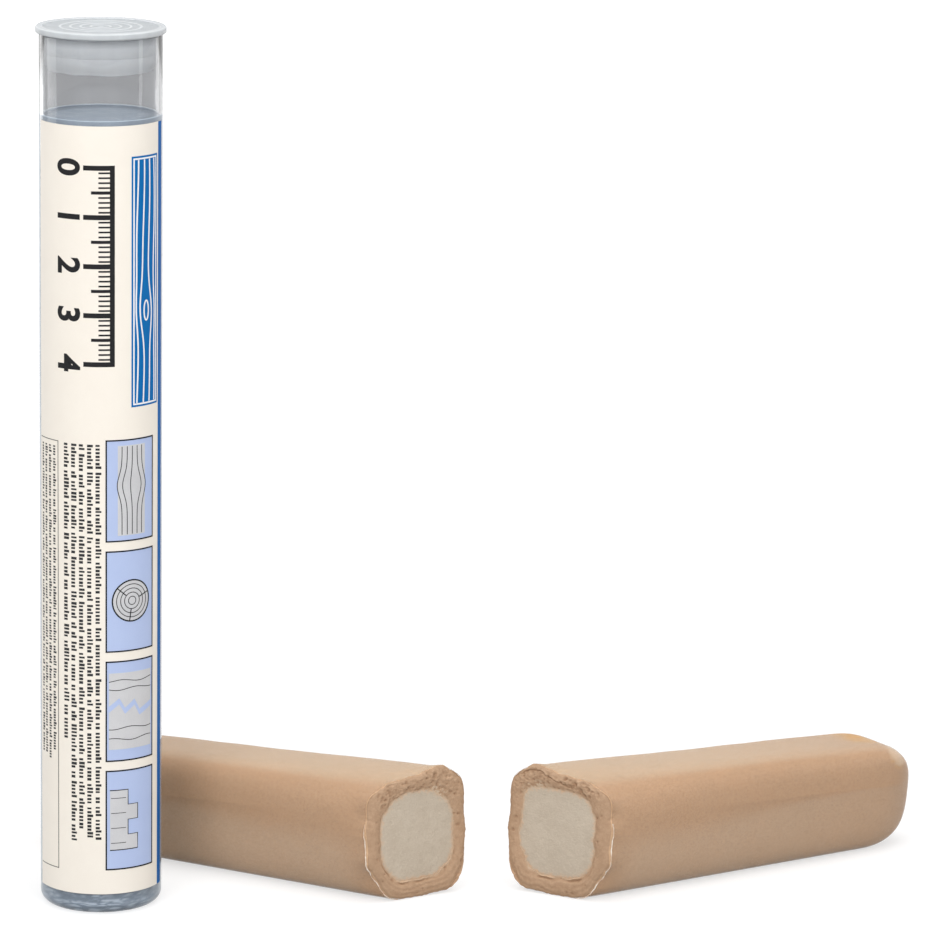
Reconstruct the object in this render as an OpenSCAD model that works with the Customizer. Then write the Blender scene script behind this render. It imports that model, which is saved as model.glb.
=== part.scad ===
// Two-part wood repair putty stick. A clear tube with a plug cap and a front label
// holds an uncut stick, and a second stick lies beside it, cut in two halves.
// Millimetres, +Z up. The origin is the centre of the tube's base, on the floor.
// The label faces -Y, and the halves lie on the +X side.

/* [Tube] */
// Outside diameter of the tube
tube_od = 25; // [20:0.5:32]
// Thickness of the tube's wall
tube_wall = 0.7; // [0.5:0.1:1.2]
// Empty height in the tube between the stick and the plug
headroom = 9.1; // [2:0.1:40]
// Thickness of the closed base
base_t = 0.7; // [0.6:0.1:2.5]
// Radius of the outer edge of the base
base_r = 2.3; // [1.5:0.1:4]

/* [Cap] */
// How far the flange stands out past the tube, all round
flange_lip = 0.7; // [0.3:0.1:2]
// Thickness of the flange at its raised rim
flange_t = 1.4; // [1.2:0.1:3]
// Rounding of the flange's upper and lower edge
flange_r = 0.4; // [0.1:0.05:0.6]
// Width of the raised rim on top of the flange
rim_w = 1.4; // [0.8:0.1:3]
// Depth of the top face below the raised rim
top_sink = 0.3; // [0.1:0.05:0.5]
// Number of low rings on the top face
ring_count = 4; // [1:1:5]
// Distance from one ring to the next, and from the centre to the first
ring_pitch = 2.05; // [1.2:0.05:2.1]
// Width of a ring
ring_w = 0.6; // [0.3:0.1:1]
// Height of a ring above the top face
ring_h = 0.15; // [0.05:0.05:0.3]
// Thickness of the web that closes the plug
web_t = 1; // [0.8:0.1:2]
// Length of the land that seals against the bore
land_h = 3.9; // [2:0.1:8]
// Length of the curved lead-in below the land
lead_h = 3.2; // [1.6:0.1:6]
// Step inwards from the land to the lead-in
lead_step = 0.12; // [0.05:0.01:0.3]
// How far the lead-in then curves in on each side
lead_draw = 0.85; // [0.3:0.05:1.5]
// Thickness of the plug's wall at its lower tip
tip_wall = 0.9; // [0.6:0.1:2]
// Gap between the land and the bore, all round
plug_clear = 0.05; // [0.02:0.01:0.1]

/* [Label] */
// Height of the label's lower edge above the floor
label_z = 4.5; // [4.5:0.1:40]
// Distance from the stick's top down to the label's upper edge
label_drop = 1.0; // [0:0.1:20]
// Angle that the label covers around the tube
label_span = 147; // [60:1:340]
// Angle from -Y towards +X to the middle of the label
label_turn = 4; // [-20:1:20]
// Thickness of the label
label_t = 0.12; // [0.08:0.01:0.3]
// Thickness of the glue under the label
glue_t = 0.02; // [0.01:0.01:0.05]

/* [Stick in the tube] */
// Length of the wrapped stick
stick_len = 164.2; // [60:0.1:165]
// Gap between the wrapped stick and the bore, all round
stick_clear = 0.3; // [0.2:0.05:1]
// Rounding of the wrapped stick's upper edge
stick_top_r = 0.7; // [0.5:0.1:2]
// Thickness of the wrap
wrap_t = 0.2; // [0.1:0.05:0.4]
// Thickness of the outer compound around the core
stick_rim = 3.7; // [2:0.1:6]

/* [Cut halves] */
// Length of a half from the middle of its cut face to its rear end
half_len = 89; // [50:0.5:110]
// Width of a half over the film at the cut face
half_w = 20.6; // [17:0.2:26]
// Height of a half over the film at the cut face
half_h = 27.4; // [20:0.2:30]
// How much narrower a half is at its rear end
rear_draw_w = 2.6; // [0:0.1:4]
// How much lower a half is at its rear end
rear_draw_h = 4.2; // [0:0.1:5]
// Length over which the rear end rounds off
rear_round = 13.5; // [8:0.5:14]
// Sharpness of the edges along a half: 2 is soft, more is sharper
squareness = 5; // [3:0.5:10]
// Length over which the upper front edge is pressed in behind the cut
press_len = 110; // [20:5:200]
// How far the soft compound has settled flat on the floor
settle = 0.25; // [0.1:0.05:0.8]
// Angle of the cut face from square to the half's length
cut_turn = 30; // [0:0.5:40]
// Height of the torn waves along the edge of the cut
tear = 0.35; // [0:0.05:0.6]
// How far the torn rim stands out of the cut face
lip = 0.5; // [0.1:0.1:1]
// How deep the core's face lies behind the cut face
core_sink = 0.35; // [0.1:0.05:1]
// Thickness of the film
film_t = 0.2; // [0.1:0.05:0.4]
// How far the film's edge stays behind the cut face
film_back = 0.3; // [0.1:0.1:2]
// Thickness of the outer compound at the core's sides
rim_side = 2.6; // [2:0.1:5]
// Thickness of the outer compound above and below the core
rim_top = 4; // [2:0.1:6]
// Thickness of the outer compound that closes the rear end
rear_cover = 7; // [4:0.5:12]
// Length over which the core's hidden end rounds off
core_round = 6; // [3:0.5:8]
// Sharpness of the core's edges
core_squareness = 3; // [2:0.1:5]
// Air between two layers that lie on each other
layer_gap = 0.04; // [0.02:0.01:0.08]

/* [Layout] */
// Distance from the tube's axis to the middle of the gap between the halves
parting_x = 80; // [78:0.1:120]
// Gap between the cut faces where they are closest
parting_gap = 8.4; // [4:0.1:40]
// Distance of the left half's cut face behind the tube's axis
left_y = 3.3; // [0:0.1:30]
// Angle of the left half away from the X axis
left_turn = 29; // [22:0.5:40]
// Distance of the right half's cut face behind the tube's axis
right_y = 5.6; // [-10:0.1:30]
// Angle of the right half away from the X axis
right_turn = 33; // [0:0.5:40]

/* [Hidden] */
$fn = 96;

tube_r = tube_od / 2;
bore_r = tube_r - tube_wall;
bore_corner = base_r - tube_wall;
flange_rad = tube_r + flange_lip;
stick_top = base_t + stick_len;
tube_h = stick_top + headroom + lead_h + land_h;
label_h = stick_top - label_drop - label_z;
land_r = bore_r - plug_clear;
lead_r = land_r - lead_step;
tip_r = lead_r - lead_draw;
lead_curve = (pow(lead_h, 2) + pow(lead_draw, 2)) / (2 * lead_draw);
hollow_r = tip_r - tip_wall;
top_z = flange_t - top_sink;
hollow_top = top_z - web_t;
stick_r = bore_r - stick_clear;
stick_foot_r = bore_corner + stick_clear;

// How far a cut runs past the face that it opens
overcut = 1;
// Points around a section, and sections along the straight stretch and the rounding
section_n = 44;
straight_n = 6;
round_n = 7;
// Exponent that sets the sections closer together towards the cut
station_power = 1.5;
// Exponent of the rear end's rounding, and the angle where its last section lies
round_power = 2.3;
round_stop = 84;
// Waves of the torn edge: share of the height, waves around the section, and phase
tear_waves = [[0.6, 3, 20], [0.4, 5, 110]];
// Faces of a section as [sideways, up]: [1, 0] is a wall at half the width, and a larger number
// draws the face in. The outer section leans in at the foot of its front.
section_faces = [[1.04, 0], [0, 0.97], [-0.84, 0], [0, -1], [-0.79, -0.35]];
core_faces = [[1, 0], [0, 1], [-1, 0], [0, -1]];
// Face that the cut has pressed into the upper front edge, where it is deepest
press_face = [-0.49, 0.66];
// Outlines as faces, sharpness, and share of the pressed face
outer_shape = [section_faces, squareness, 1];
core_shape = [core_faces, core_squareness, 0];

tube_colour = [0.80, 0.84, 0.87, 0.4];
cap_colour = [0.87, 0.89, 0.91];
label_colour = [0.97, 0.94, 0.90];
wrap_colour = [0.58, 0.63, 0.68];
shell_colour = [0.71, 0.58, 0.47];
core_colour = [0.77, 0.72, 0.64];
film_colour = [0.84, 0.72, 0.59, 0.6];

// Half outline of an upright rod from z0 to z1, rounded at its foot
module foot_outline(r, z0, z1, foot_r) {
    translate([0, z0]) square([r - foot_r, foot_r]);
    translate([r - foot_r, z0 + foot_r]) circle(foot_r);
    translate([0, z0 + foot_r]) square([r, z1 - z0 - foot_r]);
}

// Half outline of an upright rod that is rounded at its top too
module rod_outline(r, z0, z1, foot_r, top_r) {
    foot_outline(r, z0, z1 - top_r, foot_r);
    translate([0, z1 - top_r]) square([r - top_r, top_r]);
    translate([r - top_r, z1 - top_r]) circle(top_r);
}

module tube() {
    color(tube_colour) rotate_extrude() difference() {
        foot_outline(tube_r, 0, tube_h, base_r);
        foot_outline(bore_r, base_t, tube_h + overcut, bore_corner);
    }
}

// Half outline of the cap, with z = 0 where the flange sits on the tube's rim
module cap_outline() {
    difference() {
        union() {
            square([flange_rad - flange_r, flange_t]);
            translate([0, flange_r]) square([flange_rad, flange_t - 2 * flange_r]);
            for (z = [flange_r, flange_t - flange_r])
                translate([flange_rad - flange_r, z]) circle(flange_r);
        }
        translate([0, top_z]) square([flange_rad - rim_w, top_sink + overcut]);
        translate([0, -overcut]) square([hollow_r, hollow_top + overcut]);
    }
    for (i = [1 : ring_count])
        translate([i * ring_pitch - ring_w / 2, top_z - ring_h]) square([ring_w, 2 * ring_h]);
    translate([hollow_r, -land_h]) square([land_r - hollow_r, land_h + flange_r]);
    intersection() {
        translate([hollow_r, -land_h - lead_h]) square([lead_r - hollow_r, lead_h]);
        translate([lead_r - lead_curve, -land_h]) circle(lead_curve);
    }
}

module cap() {
    color(cap_colour) translate([0, 0, tube_h]) rotate_extrude() cap_outline();
}

module label() {
    color(label_colour) rotate([0, 0, label_turn - 90 - label_span / 2])
        rotate_extrude(angle = label_span)
            translate([tube_r + glue_t, label_z]) square([label_t, label_h]);
}

// Outline of the wrapped stick, drawn in by inset on all sides
module stick_outline(inset) {
    rod_outline(
        stick_r - inset, base_t + inset, stick_top - inset,
        stick_foot_r - inset, stick_top_r - inset
    );
}

module stick_wrapper() {
    color(wrap_colour) rotate_extrude() difference() {
        stick_outline(0);
        stick_outline(wrap_t);
    }
}

module stick_core_outline(inset) {
    translate([0, base_t + wrap_t + stick_rim + inset])
        square([
            stick_r - wrap_t - stick_rim - inset,
            stick_len - 2 * (wrap_t + stick_rim + inset)
        ]);
}

module stick_shell() {
    color(shell_colour) rotate_extrude() difference() {
        stick_outline(wrap_t + layer_gap);
        stick_core_outline(0);
    }
}

module stick_core() {
    color(core_colour) rotate_extrude() stick_core_outline(layer_gap);
}

// Sum of a list of numbers
function total(list) = list * [for (v = list) 1];

// Point of a section at angle t, as [sideways, up], for a half width a and a half height b.
// Each face holds the outline in, and sharpness sets how round the edges between them are.
function section_point(t, a, b, faces, sharpness) =
    let (
        way = [cos(t), sin(t)],
        r = pow(total([for (face = faces) pow(max(0, face * way), sharpness)]), -1 / sharpness)
    )
    [a * r * way[0], b * r * way[1]];

// Faces of an outline at x along the half, with what is left of the pressed face there
function faces_at(shape, x) =
    concat(shape[0], [shape[2] * max(0, 1 - x / press_len) * press_face]);

// Wave of the torn edge at angle t around the section
function tear_wave(t) = tear * total([for (w = tear_waves) w[0] * sin(w[1] * t + w[2])]);

// Place of the cut along the half, for a point u to the side of its middle
function cut_at(u, t) = -u * tan(cut_turn) + tear_wave(t);

// Width and height over the film at x along the half
function width_at(x) = half_w - rear_draw_w * x / half_len;
function height_at(x) = half_h - rear_draw_h * x / half_len;

// One section at x along the half, scaled by q for the rounded end. The insets from the film's
// outside are side and top, nothing lies below low, ahead is how far the edge stands out of the
// cut, and the cut's slant fades out at slant_end.
function half_ring(x, q, side, top, low, shape, ahead, slant_end) = [
    for (j = [0 : section_n - 1])
        let (
            t = 360 * j / section_n,
            fade = max(0, 1 - x / slant_end),
            a = width_at(x) / 2 - side,
            b = height_at(x) / 2 - top,
            s = section_point(t, q * a, q * b, faces_at(shape, x - fade * ahead), shape[1]),
            z = height_at(x) / 2 - settle + s[1]
        )
        [x + fade * (cut_at(s[0], t) - ahead), s[0], max(low, z)]
];

// Sections of a closed-ended body from its cut edge to its rear end
function half_rings(side, top, rear, low, shape, ahead, round_len) =
    let (
        straight = half_len - rear - round_len,
        body = [
            for (i = [0 : straight_n - 1])
                let (x = straight * pow(i / straight_n, station_power))
                half_ring(x, 1, side, top, low, shape, ahead, straight)
        ],
        nose = [
            for (i = [0 : round_n - 1])
                let (phi = round_stop * i / (round_n - 1))
                half_ring(
                    straight + round_len * pow(sin(phi), 2 / round_power),
                    pow(cos(phi), 2 / round_power),
                    side, top, low, shape, ahead, straight
                )
        ]
    )
    concat(body, nose);

function reversed(list) = [for (i = [len(list) - 1 : -1 : 0]) list[i]];

function middle(ring) = [for (k = [0 : 2]) total([for (p = ring) p[k]]) / len(ring)];

// Closed skin through a list of sections, with a fan of triangles over each end
module loft(rings) {
    n = len(rings[0]);
    m = len(rings);
    points = concat(
        [for (ring = rings) each ring],
        [middle(rings[0]), middle(rings[m - 1])]
    );
    sides = [
        for (i = [0 : m - 2], j = [0 : n - 1])
            let (k = (j + 1) % n)
            each [
                [i * n + j, (i + 1) * n + j, (i + 1) * n + k],
                [i * n + j, (i + 1) * n + k, i * n + k]
            ]
    ];
    first = [for (j = [0 : n - 1]) [m * n, j, (j + 1) % n]];
    last = [for (j = [0 : n - 1]) [m * n + 1, (m - 1) * n + (j + 1) % n, (m - 1) * n + j]];
    polyhedron(points, concat(sides, first, last));
}

// Sections of the film's outside and inside, of the outer compound, and of the core
function film_rings() = half_rings(0, 0, 0, 0, outer_shape, -film_back, rear_round);
function film_inner_rings() =
    half_rings(film_t, film_t, film_t, film_t, outer_shape, -film_back, rear_round);
function shell_rings() =
    let (inset = film_t + layer_gap)
    half_rings(inset, inset, inset, inset, outer_shape, 0, rear_round);
function pocket_rings() =
    half_rings(
        film_t + rim_side, film_t + rim_top, film_t + rear_cover, 0,
        core_shape, 0, core_round
    );
function core_rings() =
    half_rings(
        film_t + rim_side + layer_gap, film_t + rim_top + layer_gap,
        film_t + rear_cover + layer_gap, 0, core_shape, -core_sink, core_round
    );

// Ridge of the torn rim, halfway between the film and the core
function lip_ring() =
    (shell_rings()[0] + pocket_rings()[0]) / 2 - [for (j = [1 : section_n]) [lip, 0, 0]];

module half_film() {
    loft(concat(reversed(film_rings()), film_inner_rings()));
}

module half_shell() {
    loft(concat(reversed(shell_rings()), [lip_ring()], pocket_rings()));
}

module half_core() {
    loft(reversed(core_rings()));
}

// Distance from the middle of a cut face to its foremost corner, along X
function face_reach(turn) = half_w / 2 * (tan(cut_turn) * cos(turn) + sin(turn));

module at_left() {
    translate([parting_x - parting_gap / 2 - face_reach(left_turn), left_y, 0])
        mirror([1, 0, 0]) rotate([0, 0, left_turn]) children();
}

module at_right() {
    translate([parting_x + parting_gap / 2 + face_reach(right_turn), right_y, 0])
        rotate([0, 0, right_turn]) children();
}

module left_film() {
    color(film_colour) at_left() half_film();
}

module left_shell() {
    color(shell_colour) at_left() half_shell();
}

module left_core() {
    color(core_colour) at_left() half_core();
}

module right_film() {
    color(film_colour) at_right() half_film();
}

module right_shell() {
    color(shell_colour) at_right() half_shell();
}

module right_core() {
    color(core_colour) at_right() half_core();
}

tube();
cap();
label();
stick_wrapper();
stick_shell();
stick_core();
left_film();
left_shell();
left_core();
right_film();
right_shell();
right_core();
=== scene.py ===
import math

import bmesh
import bpy
import numpy as np
from mathutils import Matrix, Vector, noise


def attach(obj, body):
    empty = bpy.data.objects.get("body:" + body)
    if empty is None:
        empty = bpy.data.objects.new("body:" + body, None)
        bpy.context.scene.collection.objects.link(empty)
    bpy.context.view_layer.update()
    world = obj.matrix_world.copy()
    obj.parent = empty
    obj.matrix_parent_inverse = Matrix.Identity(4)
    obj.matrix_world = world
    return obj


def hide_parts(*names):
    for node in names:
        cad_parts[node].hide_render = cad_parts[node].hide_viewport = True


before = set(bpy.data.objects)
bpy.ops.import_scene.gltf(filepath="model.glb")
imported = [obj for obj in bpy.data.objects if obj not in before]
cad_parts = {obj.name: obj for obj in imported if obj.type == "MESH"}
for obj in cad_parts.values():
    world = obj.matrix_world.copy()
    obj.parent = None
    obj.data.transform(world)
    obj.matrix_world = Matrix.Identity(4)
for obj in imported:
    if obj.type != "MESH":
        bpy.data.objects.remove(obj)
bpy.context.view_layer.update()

# Lengths are in millimetres until a mesh is made, and angles in degrees.
MM = 0.001

# Points round each turned piece, and round the layers of the halves
TUBE_POINTS = 192
CAP_POINTS = 224
WRAP_POINTS = 240
STICK_POINTS = 96
SHELL_POINTS = 360
FILM_POINTS = 300

# Tube
TUBE_R = 12.5
BORE_R = 11.8
TUBE_H = 181.1
BASE_T = 0.7
BASE_R = 2.3
BORE_CORNER = BASE_R - (TUBE_R - BORE_R)
MOUTH_R = 0.25
WALL_ROWS = (20, 60, 100, 140, 170)

# Plug cap, with heights above the tube's rim
FLANGE_R = 13.2
FLANGE_T = 1.4
FLANGE_EDGE = 0.4
RIM_W = 1.4
RIM_FILLET = 0.3
RIM_EDGE = 0.15
TOP_Z = 1.1
RINGS = 4
RING_PITCH = 2.05
RING_W = 0.9
RING_H = 0.16
LAND_R = 11.75
LAND_H = 3.9
LEAD_R = 11.63
LEAD_H = 3.2
LEAD_DRAW = 0.85
PLUG_H = LAND_H + LEAD_H
TIP_WALL = 0.9
TIP_EDGE = 0.2
WEB_Z = 0.1
WEB_FILLET = 0.4

# Label, with arcs measured on its face from its left edge
LABEL_FACE = 12.64
LABEL_BACK = 12.52
LABEL_START = -69.5
LABEL_END = 77.5
LABEL_Z = 4.5
LABEL_TOP = 163.9
ARC = LABEL_FACE * math.pi / 180
LABEL_W = (LABEL_END - LABEL_START) * ARC

# Print on the label: ink, right stripe, frame of the fine print, blue block, knot, picture panels
INK = 0.02
FINE_FRAME = (0.4, 9.2, 6.7, 99.2)
FINE_LINE = 0.15
STRIPE_S = 30.6
STRIPE_BACK = 0.03
BLOCK = (22.6, 106.4, 30.1, 157.6)
KNOT = (26.35, 126.0)
PANEL_S = (17.1, 28.5)
PANEL_W = PANEL_S[1] - PANEL_S[0]
PANEL_Z = 9.6
PANEL_H = 21.2
PANEL_PITCH = 23.05
PANELS = 4
CRACK = ((0.06, 0.52), (0.25, 0.60), (0.36, 0.50), (0.55, 0.58), (0.66, 0.47), (0.94, 0.54))

# Bending of the label and its print: width of the strips, and distance at which points join
STRIP = 0.5
WELD = 0.0005

# Wrapped stick
STICK_R = 11.5
STICK_Z = 0.7
STICK_TOP = 164.9
STICK_FOOT = 1.9
STICK_RIM = 3.7
STICK_EDGE = 0.3
STICK_SLACK = 0.6
CORE_EDGE = 0.3
FOOT_BAND = 8
CLING = 0.02
WRAP_T = 0.2
WRAP_LIP = 0.32
WRAP_SINK = 0.4
LIP_EDGE = 0.1
SINK_FILLET = 0.15

# Cut halves
HALF_LEN = 89.0
HALF_W = 20.6
HALF_H = 27.4
REAR_DRAW_W = 2.6
REAR_DRAW_H = 4.2
REAR_ROUND = 13.5
ROUND_POWER = 2.3
SQUARENESS = 5.0
SECTION_FACES = ((1.04, 0), (0, 0.97), (-0.84, 0), (0, -1), (-0.79, -0.35))
PRESS_FACE = (-0.49, 0.66)
PRESS_LEN = 110.0
SETTLE = 0.25
MID_Z = HALF_H / 2 - SETTLE
CUT_TURN = 30.0
CUT_SLOPE = math.tan(math.radians(CUT_TURN))
TEAR = 0.35
TEAR_WAVES = ((0.6, 3, 20), (0.4, 5, 110))
LIP = 0.5
LAYER_GAP = 0.04
RIM_SIDE = 2.6
RIM_TOP = 4.0
REAR_COVER = 7.0
CORE_FACES = ((1, 0), (0, 1), (-1, 0), (0, -1))
CORE_SQUARENESS = 3.0

# Film of the halves: thickness at the near side of the cut, share of it that is left elsewhere,
# distance of its edge behind the cut, and the angles between which the near side lies
FILM_T = 0.2
FILM_THIN = 0.35
FILM_BACK = 0.3
FILM_NEAR = (165, 248)

# Where the halves part, and for each its side of the parting, its place in Y and its turn
PARTING_X = 80.0
PARTING_GAP = 8.4
HALVES = {"left": (-1, 3.3, 29.0), "right": (1, 5.6, 33.0)}

# Rows of points along a half: close behind the cut, then even, then the rounding
NEAR_ROWS = (0, 0.28, 0.6, 1.0, 1.5, 2.1, 2.9, 3.9)
EVEN_FROM = 5
ROW_STEP = 1.25
NOSE_ROWS = 22

# Bumps of the torn outline as (angle round the section, spread in degrees, height), and how far
# back from the cut they reach
TORN_BUMPS = (
    (0, 12, 0.45), (50, 9, -0.55), (67, 6, 0.6), (94, 11, -0.55), (110, 8, -0.3), (146, 6, 0.65),
    (161, 7, -0.45), (180, 6, -0.2), (198, 8, 1.0), (222, 14, -0.9), (252, 8, 0.4), (298, 14, -0.4),
    (318, 13, -1.3),
)
TORN_REACH = 2.4

# Bumps of each core's outline as (angle, spread, share of its size)
CORE_BUMPS = {
    "left": ((45, 18, -0.04), (135, 16, -0.05), (180, 24, 0.02), (225, 14, -0.02), (315, 14, -0.03)),
    "right": ((47, 15, 0.10), (354, 15, 0.06), (326, 9, -0.05), (180, 26, -0.03), (232, 16, -0.03)),
}

# Ridge on the near side, below which the film carries painted sheen: height at a place, and fall behind
# it
CREASE_X = 29.0
CREASE_Z = 17.8
CREASE_FALL = 0.05

# Film at the rear end: flap as (place, reach) along the half and round it in radians, and amber fold
FLAP_ALONG = (81.8, 2.4)
FLAP_ROUND = (2.36, 0.24)
FLAP_PUSH = 0.12
AMBER_ALONG = (77.5, 3.3)


# Node helpers

def give(socket, value):
    """Links an input socket to an output socket, or sets it to a plain value."""
    if isinstance(value, bpy.types.NodeSocket):
        value.id_data.links.new(value, socket)
    else:
        socket.default_value = value


def feed(target, **values):
    """Gives values to a node's inputs, which are named with _ for a space."""
    for key, value in values.items():
        give(target.inputs[key.replace("_", " ")], value)


def node(tree, kind, **values):
    """A new shader node. Values name its inputs or, failing that, its settings."""
    made = tree.nodes.new(kind)
    for key, value in values.items():
        if key.replace("_", " ") in made.inputs:
            feed(made, **{key: value})
        else:
            setattr(made, key, value)
    return made


def maths(operation, first, second):
    """Result of a Math node."""
    made = node(first.id_data, "ShaderNodeMath", operation=operation)
    give(made.inputs[0], first)
    give(made.inputs[1], second)
    return made.outputs[0]


def start_material(name, **values):
    """A material with one Principled shader, and its tree and shader."""
    material = bpy.data.materials.new(name)
    material.use_nodes = True
    shader = material.node_tree.nodes["Principled BSDF"]
    feed(shader, **values)
    return material, material.node_tree, shader


def places(tree, stretch=(1, 1, 1)):
    """Object coordinates in millimetres, stretched by a factor along each axis."""
    source = node(tree, "ShaderNodeTexCoord").outputs["Object"]
    scale = [s / MM for s in stretch]
    return node(tree, "ShaderNodeMapping", Vector=source, Scale=scale).outputs["Vector"]


def grain(where, size, detail=3.0, rough=0.6):
    """Noise with lumps about size millimetres across, from 0 to 1."""
    made = node(
        where.id_data, "ShaderNodeTexNoise", Vector=where, Scale=1 / size, Detail=detail, Roughness=rough
    )
    return made.outputs["Fac"]


def ramp(value, low, high, start=0.0, end=1.0):
    """Value stretched from low..high to start..end, and held inside that range."""
    made = node(value.id_data, "ShaderNodeMapRange", Value=value, From_Min=low, From_Max=high)
    feed(made, To_Min=start, To_Max=end)
    return made.outputs["Result"]


def tint(share, first, second):
    """A colour socket: first where share is 0, second where it is 1."""
    made = node(share.id_data, "ShaderNodeMix", data_type="RGBA")
    give(made.inputs[0], share)
    for socket, colour in ((made.inputs[6], first), (made.inputs[7], second)):
        give(socket, (*colour, 1) if isinstance(colour, tuple) else colour)
    return made.outputs[2]


def add_bump(shader, height, depth, **under):
    """Bump of depth millimetres on the shader, over another bump where its Normal is given."""
    made = node(shader.id_data, "ShaderNodeBump", Height=height, Distance=depth * MM, **under)
    feed(shader, Normal=made.outputs["Normal"])
    return made.outputs["Normal"]


def attribute(tree, name):
    return node(tree, "ShaderNodeAttribute", attribute_name=name).outputs["Fac"]


def let_lamps_through(shader, colour):
    """Lamp light passes through the surface, tinted by a colour."""
    tree = shader.id_data
    path = node(tree, "ShaderNodeLightPath")
    open_view = node(tree, "ShaderNodeBsdfTransparent", Color=(*colour, 1))
    either = node(tree, "ShaderNodeMixShader", Fac=path.outputs["Is Shadow Ray"])
    give(either.inputs[1], shader.outputs["BSDF"])
    give(either.inputs[2], open_view.outputs["BSDF"])
    feed(tree.nodes["Material Output"], Surface=either.outputs["Shader"])


# Materials

def clear_plastic():
    """Clear tube, faintly smoky, which lets lamp light through to the stick."""
    material, tree, shader = start_material("clear_plastic", IOR=1.49, Transmission_Weight=1.0)
    streaks = grain(places(tree, (1, 1, 0.06)), 1.1, 5.0, 0.7)
    smoke = tint(ramp(streaks, 0.3, 0.7), (0.470, 0.476, 0.487), (0.515, 0.521, 0.532))
    feed(shader, Base_Color=smoke, Roughness=ramp(streaks, 0.3, 0.8, 0.01, 0.035))
    add_bump(shader, streaks, 0.005)
    let_lamps_through(shader, (0.95, 0.955, 0.96))
    return material


def cap_plastic():
    """Milky soft plastic, whiter where it is thick and where painted light is put on the plug, with a
    faintly mottled skin.
    """
    material, tree, shader = start_material(
        "cap_plastic", Subsurface_Weight=0.4, Subsurface_Scale=0.0015, IOR=1.5,
        Subsurface_Radius=(1.0, 1.05, 1.1), Specular_IOR_Level=0.3
    )
    where = places(tree)
    mottle = grain(where, 0.35)
    cloud = ramp(grain(where, 2.6), 0.3, 0.7)
    thin = tint(cloud, (0.39, 0.415, 0.435), (0.45, 0.475, 0.495))
    # Whiter where the plastic is thick, and on the plug with painted light, a painted highlight at its
    # tip and painted shade at its step
    milk = tint(attribute(tree, "thick_and_painted_light"), thin, (0.97, 0.985, 0.99))
    feed(shader, Base_Color=milk, Roughness=ramp(mottle, 0.3, 0.7, 0.34, 0.46))
    add_bump(shader, mottle, 0.012)
    let_lamps_through(shader, (0.72, 0.735, 0.75))
    return material


def paper(name, colour, shade, gloss=0.42, shine=0.5):
    """Coated label stock or a flat print on it, with fine paper grain."""
    material, tree, shader = start_material(name, Specular_IOR_Level=shine)
    where = places(tree)
    fibre = grain(where, 0.16, 5.0)
    cloud = ramp(grain(where, 6.0), 0.3, 0.7, 0.0, 0.45)
    spread = maths("ADD", ramp(fibre, 0.3, 0.7, 0.0, 0.55), cloud)
    rough = ramp(fibre, 0.3, 0.7, gloss, gloss + 0.1)
    feed(shader, Base_Color=tint(spread, shade, colour), Roughness=rough)
    add_bump(shader, fibre, 0.006)
    return material


def wrap_foil():
    """Blue-grey satin wrap with long faint creases, with painted shade on its walls and in folds at its
    foot, and a painted highlight along the back of its top edge.
    """
    material, tree, shader = start_material("wrap_foil", Metallic=0.15, IOR=1.5)
    crease = grain(places(tree, (1, 1, 0.08)), 1.8, 4.0)
    cloud = ramp(grain(places(tree), 3.0, 4.0), 0.35, 0.65)
    blue = tint(cloud, (0.57, 0.66, 0.76), (0.69, 0.78, 0.88))
    # Painted shade on the walls, deepest in folds at the foot and on the near side
    painted_fold_shade = tint(attribute(tree, "fold_and_painted_shade"), blue, (0.20, 0.255, 0.32))
    # Painted highlight along the back of the lip
    lip_highlighted = tint(attribute(tree, "rim"), painted_fold_shade, (0.80, 0.84, 0.88))
    feed(shader, Base_Color=lip_highlighted, Roughness=ramp(crease, 0.3, 0.7, 0.32, 0.5))
    add_bump(shader, crease, 0.03)
    return material


PUTTY = (0.648, 0.412, 0.244)
PUTTY_DARK = (0.486, 0.306, 0.180)
PUTTY_GREY = (0.620, 0.405, 0.245)
CORE = (0.560, 0.478, 0.379)
CORE_DARK = (0.515, 0.432, 0.337)
SKIN_GRAIN = 0.48


def putty_skin():
    """Outer compound as pressed smooth under the film: soft clouds, fine grain, small dark specks."""
    material, tree, shader = start_material(
        "putty_skin", Specular_IOR_Level=0.3, Coat_Weight=0.2, Coat_Roughness=0.3
    )
    where = places(tree)
    fine = grain(where, SKIN_GRAIN, 4.0)
    specks = node(tree, "ShaderNodeTexVoronoi", Vector=where, Scale=1 / 2.6, Randomness=1.0)
    tan = tint(ramp(grain(where, 7.0, 4.0), 0.38, 0.62), PUTTY_GREY, PUTTY)
    grained = tint(ramp(fine, 0.40, 0.66, 0.13, 0.75), tan, PUTTY_DARK)
    dots = ramp(specks.outputs["Distance"], 0.045, 0.09, 0.4, 0.0)
    dotted = tint(dots, grained, (0.30, 0.19, 0.11))
    # Amber where the film is folded over, and a line of painted shade below the flap
    amber = tint(attribute(tree, "fold_and_painted_shade"), dotted, (0.70, 0.40, 0.11))
    feed(shader, Base_Color=amber, Roughness=ramp(fine, 0.3, 0.7, 0.38, 0.5))
    add_bump(shader, fine, 0.02)
    return material


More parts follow.
